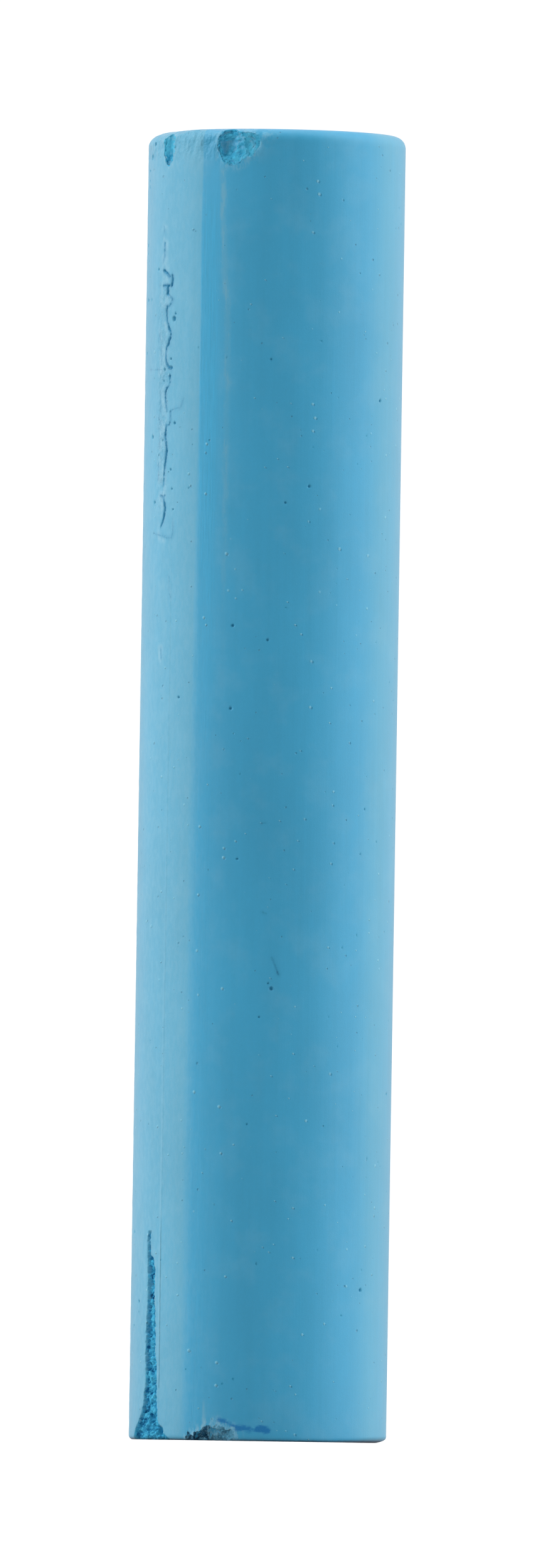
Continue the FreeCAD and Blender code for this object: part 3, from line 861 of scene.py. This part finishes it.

    # The broken inside: blue, with dark damp clots in the trench and fissures in the chips. Part of
    # that dark is painted shade: it gathers where the grain sinks deepest, deeper in the trench and
    # on the trench's deeper left side.
    grit = graph.noise(place, 6.0, 3.0, 0.7)
    deep = 0.5 - mark("crag") + (grit - 0.5) * 0.5
    clots_and_shade = deep + (0.5 - mark("trench_across")) * 0.12 + (mark("sunk") - 0.6) * 0.2
    in_crown = graph.ramp(height, 95.0, 96.0)
    in_foot = graph.ramp(height, 2.4, 1.8) * graph.ramp(angle, -38.0, -36.0)
    clotted_and_shaded = graph.ramp(clots_and_shade, 0.54, 0.76)
    pale = graph.mix(graph.ramp(deep, 0.6, 0.3), (0.04, 0.40, 0.68, 1), (0.09, 0.58, 0.86, 1))
    inside = graph.mix(clotted_and_shaded, pale, dark)
    chipped = graph.mix(graph.ramp(deep, 0.25, 0.8), (0.1, 0.6, 0.88, 1), (0.008, 0.26, 0.5, 1))
    inside = graph.mix(in_crown, inside, chipped)
    healed = graph.ramp(angle, -42.0, -48.0) * graph.ramp(height, 99.5, 99.9)
    healed = graph.largest(healed, graph.ramp(angle, -17.5, -13.5) * 0.7) * in_crown
    inside = graph.mix(healed * 0.75, inside, (0.09, 0.52, 0.76, 1))
    colour = graph.mix(graph.ramp(broken, 0.25, 0.8) * 0.9, colour, inside)
    # Painted shade down the split: its groove is darkened in colour.
    split_shade = graph.ramp(mark("split") + (grit - 0.5) * 1.4, 0.25, 0.9)
    colour = graph.mix(split_shade * 0.55, colour, (0.015, 0.25, 0.46, 1))
    # The foot chip's inside is darker towards its left side.
    darker_left = graph.ramp(angle - (deep - 0.5) * 26, -11.0, -27.0)
    foot_inside = graph.mix(darker_left, (0.11, 0.38, 0.56, 1), (0.004, 0.065, 0.14, 1))
    foot_inside = graph.mix(graph.ramp(grit, 0.56, 0.64) * 0.5, foot_inside, powder)
    colour = graph.mix(graph.ramp(broken, 0.2, 0.7) * in_foot, colour, foot_inside)

    # Powder round the chips and on the worn rim, and painted shade where the foot's edge turns under.
    dust = graph.noise(graph.vector("MULTIPLY", place, (1, 1, 0.4)), 3.0, 4.0, 0.75)
    dust = graph.ramp(dust, 0.42, 0.6) * (1 - broken)
    at_foot = graph.ramp(height, 3.0, 2.0)
    colour = graph.mix(mark("scuff") * dust * (0.35 + at_foot * 0.4), colour, powder)
    colour = graph.mix(mark("worn") * dust * 0.35, colour, powder)
    slumps = graph.noise(graph.vector("MULTIPLY", place, (1, 1, 0.8)), 0.75, 4.0, 0.5)
    near_crown = graph.ramp(height + (cloud - 0.5) * 3, 98.4, 101.0) * (1 - broken)
    near_crown = near_crown * graph.ramp(angle, 4.0, -14.0) * graph.ramp(angle, -170.0, -130.0)
    near_crown = near_crown * graph.ramp(from_axis, 7.6, 9.0)
    colour = graph.mix(near_crown * graph.ramp(slumps, 0.5, 0.38) * 0.3, colour, (0.03, 0.36, 0.6, 1))
    colour = graph.mix(near_crown * graph.ramp(slumps, 0.52, 0.62) * 0.3, colour, powder)
    # Painted shade along the bottom edge, where the foot's rounding turns away from the light.
    foot_shade = graph.ramp(height + (fine - 0.5) * 0.15, 0.22, 0.03)
    colour = graph.mix(foot_shade * 0.6, colour, (0.05, 0.16, 0.26, 1))

    # Blue strokes above the foot.
    stain = 0.0
    smear = graph.noise(graph.vector("MULTIPLY", place, (1, 1, 2)), 1.4, 3.0, 0.65) - 0.5
    for half, chain in STAINS:
        for (angle_a, height_a), (angle_b, height_b) in zip(chain, chain[1:]):
            per_degree = RADIUS_MM * math.pi / 180
            run = Vector(((angle_b - angle_a) * per_degree, height_b - height_a, 0))
            side, up = (angle - angle_a) * per_degree, height - height_a
            share = (side * run.x + up * run.y) / run.length_squared
            share = graph.node("ShaderNodeClamp", None, {"Value": share})
            off_side, off_up = side - share * run.x, up - share * run.y
            gap = graph.math("SQRT", off_side * off_side + off_up * off_up) + smear * 0.6
            stain = graph.largest(graph.ramp(gap, half + 0.2, half - 0.06), stain)
    colour = graph.mix(stain * 0.95, colour, (0.0, 0.215, 0.55, 1))

    grain = graph.noise(place, 9.0, 3.0, 0.7)
    relief = grain * 0.008 + streak * 0.014 + lines * drag * 0.03 - shaded_pits * 0.05 + flecks_and_glints * 0.04
    relief = relief + broken * (grit - 0.5) * 0.1 + near_crown * (slumps - 0.5) * 0.7
    relief = relief - behind * 0.04 + (flakes - 0.5) * seam * 0.2
    normal = graph.node(
        "ShaderNodeBump", None, {"Strength": 0.8, "Distance": MM, "Height": relief}
    )
    skin_shader = graph.node(
        "ShaderNodeBsdfPrincipled",
        None,
        {
            "Base Color": colour,
            "Roughness": 0.47 + (fine - 0.5) * 0.12,
            "Specular IOR Level": 0.4,
            "Sheen Weight": 0.2,
            "Sheen Roughness": 0.5,
            "Sheen Tint": (1.0, 0.5, 0.4, 1.0),
            "Normal": normal,
        },
    )
    inside_shader = graph.node(
        "ShaderNodeBsdfPrincipled",
        None,
        {"Base Color": colour, "Roughness": 0.85, "Specular IOR Level": 0.1, "Normal": normal},
    )
    bare = graph.largest(broken, mark("hollow"), mark("split"))
    surface = graph.node("ShaderNodeMixShader", None, {0: bare, 1: skin_shader, 2: inside_shader})
    output = tree.nodes.new("ShaderNodeOutputMaterial")
    tree.links.new(surface.socket, output.inputs["Surface"])
    return material


# ---- Stage ------------------------------------------------------------------------------

FLOOR_CORNERS = 96


def pale_floor_material():
    """Matt studio paper: nearly white to look at, and greyer in what it throws on the stick."""
    material = bpy.data.materials.new("studio_paper")
    material.use_nodes = True
    tree = material.node_tree
    tree.nodes.clear()
    graph = Graph(tree)
    place = graph.node("ShaderNodeTexCoord", None, None, "Object")
    fibre = graph.noise(place, 40.0, 3.0)
    seen = graph.node("ShaderNodeLightPath", None, None, "Is Camera Ray")
    tone = 0.45 + seen * 0.5 + (fibre - 0.5) * 0.02
    surface = graph.node(
        "ShaderNodeBsdfPrincipled",
        None,
        {"Base Color": graph.combine(tone, tone, tone), "Roughness": 0.9,
         "Specular IOR Level": 0.1},
    )
    output = tree.nodes.new("ShaderNodeOutputMaterial")
    tree.links.new(surface.socket, output.inputs["Surface"])
    return material


def light_tent():
    """A tent of light: dim in front, bright at both sides, dimmer behind; white to look at."""
    world = bpy.data.worlds.new("light_tent")
    bpy.context.scene.world = world
    world.use_nodes = True
    world.node_tree.nodes.clear()
    graph = Graph(world.node_tree)
    way = graph.node("ShaderNodeTexCoord", None, None, "Generated")
    x, y, _ = graph.separate(way)
    azimuth = abs(graph.math("ARCTAN2", x, -y)) * (180 / math.pi)
    radiance = 0.21 + graph.ramp(azimuth, 53.0, 67.0) * 3.0
    radiance = radiance - graph.ramp(azimuth, 94.0, 108.0) * 1.9
    radiance = radiance - graph.ramp(azimuth, 134.0, 148.0) * 0.55
    seen = graph.node("ShaderNodeLightPath", None, None, "Is Camera Ray")
    strength = radiance + seen * (1.05 - radiance)
    background = graph.node(
        "ShaderNodeBackground", None, {"Color": (1, 1, 1, 1), "Strength": strength}
    )
    output = world.node_tree.nodes.new("ShaderNodeOutputWorld")
    world.node_tree.links.new(background.socket, output.inputs["Surface"])


# ---- Operators --------------------------------------------------------------------------


class CHALK_OT_cast_stick(bpy.types.Operator):
    """Cast the chalk stick, weather it and finish it with the chalk material"""

    bl_idname = "chalk.cast_stick"
    bl_label = "Cast chalk stick"
    bl_options = {"REGISTER", "UNDO"}

    def execute(self, context):
        settings = context.scene.chalk_stick
        material = chalk_material(settings)
        stick = bpy.data.objects.new("weathered_stick", make_blank(settings))
        context.scene.collection.objects.link(stick)
        values = {
            "Radius": settings.radius / MM,
            "Length": settings.length / MM,
            "Trench depth": settings.trench_depth / MM,
            "Split depth": settings.split_depth / MM,
            "Grain": settings.grain / MM,
        }
        apply_tree(stick, weathering_tree(material), values)
        stick.data.shade_smooth()
        if len(stick.data.polygons) == 0:
            raise RuntimeError("the weathering tree gave no mesh")
        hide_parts(NODE)
        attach(stick, "root")
        return {"FINISHED"}


class CHALK_OT_set_stage(bpy.types.Operator):
    """Lay the pale floor, light the studio softly and place the camera"""

    bl_idname = "chalk.set_stage"
    bl_label = "Set stage"
    bl_options = {"REGISTER", "UNDO"}

    def execute(self, context):
        scene = context.scene
        settings = scene.chalk_studio
        middle = Vector((0, 0, (CAD_BOX[0][2] + CAD_BOX[1][2]) / 2))

        mesh = bpy.data.meshes.new("studio_floor")
        turns = [2 * math.pi * k / FLOOR_CORNERS for k in range(FLOOR_CORNERS)]
        rim = [(math.cos(turn), math.sin(turn), 0) for turn in turns]
        points = [Vector(point) * settings.floor_radius for point in rim]
        mesh.from_pydata(points, [], [list(range(FLOOR_CORNERS))])
        floor = bpy.data.objects.new("studio_floor", mesh)
        floor.data.materials.append(pale_floor_material())
        scene.collection.objects.link(floor)

        light_tent()

        lens = bpy.data.cameras.new("camera")
        lens.sensor_width = 24.0
        lens.lens = lens.sensor_width * settings.camera_distance / settings.view_height
        lens.clip_start, lens.clip_end = 0.01, 100.0
        camera = bpy.data.objects.new("camera", lens)
        camera.location = (0, -settings.camera_distance, settings.camera_height)
        aim_point = middle + Vector((0, 0, settings.aim_rise))
        aim = (aim_point - camera.location).to_track_quat("-Z", "Y")
        camera.rotation_mode = "QUATERNION"
        camera.rotation_quaternion = aim @ Quaternion((0, 0, 1), settings.camera_roll)
        scene.collection.objects.link(camera)
        scene.camera = camera
        scene.view_settings.view_transform = "Standard"
        return {"FINISHED"}


class CHALK_PT_panel(bpy.types.Panel):
    """Lists the chalk stick's operators and settings"""

    bl_label = "Chalk Stick"
    bl_space_type = "VIEW_3D"
    bl_region_type = "UI"
    bl_category = "Chalk"

    def draw(self, context):
        layout = self.layout
        for settings in (context.scene.chalk_stick, context.scene.chalk_studio):
            column = layout.column()
            for name in type(settings).__annotations__:
                column.prop(settings, name)
        layout.operator(CHALK_OT_cast_stick.bl_idname)
        layout.operator(CHALK_OT_set_stage.bl_idname)


CLASSES = (
    ChalkStickSettings,
    StudioSettings,
    CHALK_OT_cast_stick,
    CHALK_OT_set_stage,
    CHALK_PT_panel,
)


def register():
    for cls in CLASSES:
        bpy.utils.register_class(cls)
    bpy.types.Scene.chalk_stick = bpy.props.PointerProperty(type=ChalkStickSettings)
    bpy.types.Scene.chalk_studio = bpy.props.PointerProperty(type=StudioSettings)


def unregister():
    del bpy.types.Scene.chalk_studio
    del bpy.types.Scene.chalk_stick
    for cls in reversed(CLASSES):
        bpy.utils.unregister_class(cls)


def main():
    register()
    bpy.ops.chalk.cast_stick()
    bpy.ops.chalk.set_stage()


if __name__ == "__main__":
    main()
